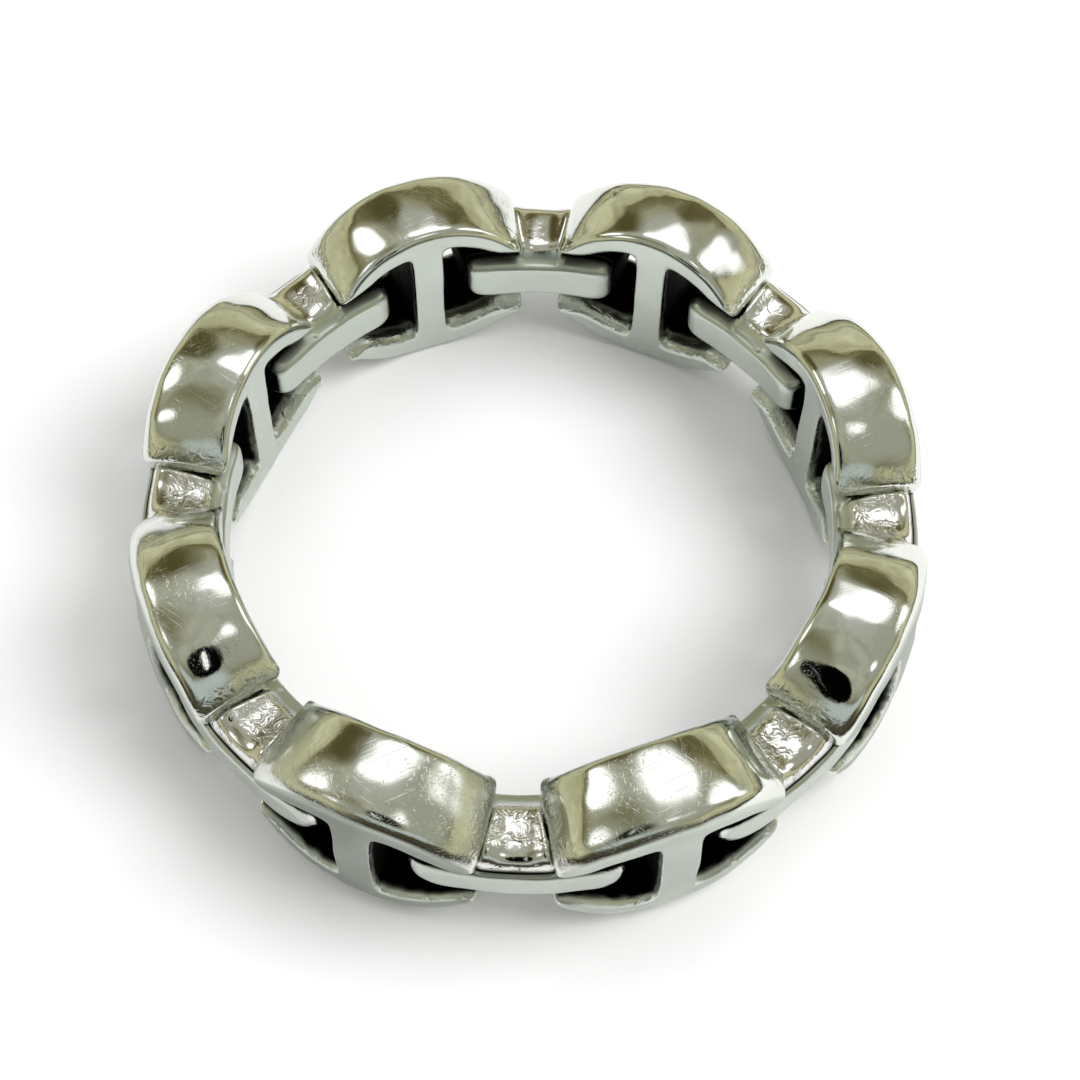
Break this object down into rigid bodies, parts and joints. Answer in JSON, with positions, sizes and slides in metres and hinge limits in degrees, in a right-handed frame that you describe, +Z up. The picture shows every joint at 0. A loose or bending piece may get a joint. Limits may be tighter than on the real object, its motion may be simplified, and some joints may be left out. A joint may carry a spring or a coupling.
{
  "type": "chain link ring",
  "caption": "Finger ring made as a closed chain: tall anchor-shaped links with a middle bar, tied one to the next by low cross links with an eye at each end.",
  "frame": {"origin": "centre of the finger hole, at the level of the surface that the ring lies on", "axes": "+Z up along the finger hole's axis, as the ring lies on its side; -Y towards the viewer, where a cross link lies between two anchor links"},
  "size_m": [0.0246, 0.0246, 0.0063],
  "materials": {
    "anchor_silver": "polished sterling silver, worn and lightly scratched, blackened inside the windows",
    "cross_silver": "polished sterling silver, with a crinkled cast surface between the anchor links"
  },
  "bodies": {
    "root": {"anchor_link_1": "anchor_silver", "anchor_link_2": "anchor_silver", "anchor_link_3": "anchor_silver", "anchor_link_4": "anchor_silver", "anchor_link_5": "anchor_silver", "anchor_link_6": "anchor_silver", "anchor_link_7": "anchor_silver", "anchor_link_8": "anchor_silver", "cross_link_1": "cross_silver", "cross_link_2": "cross_silver", "cross_link_3": "cross_silver", "cross_link_4": "cross_silver", "cross_link_5": "cross_silver", "cross_link_6": "cross_silver", "cross_link_7": "cross_silver", "cross_link_8": "cross_silver"}
  },
  "joints": []
}
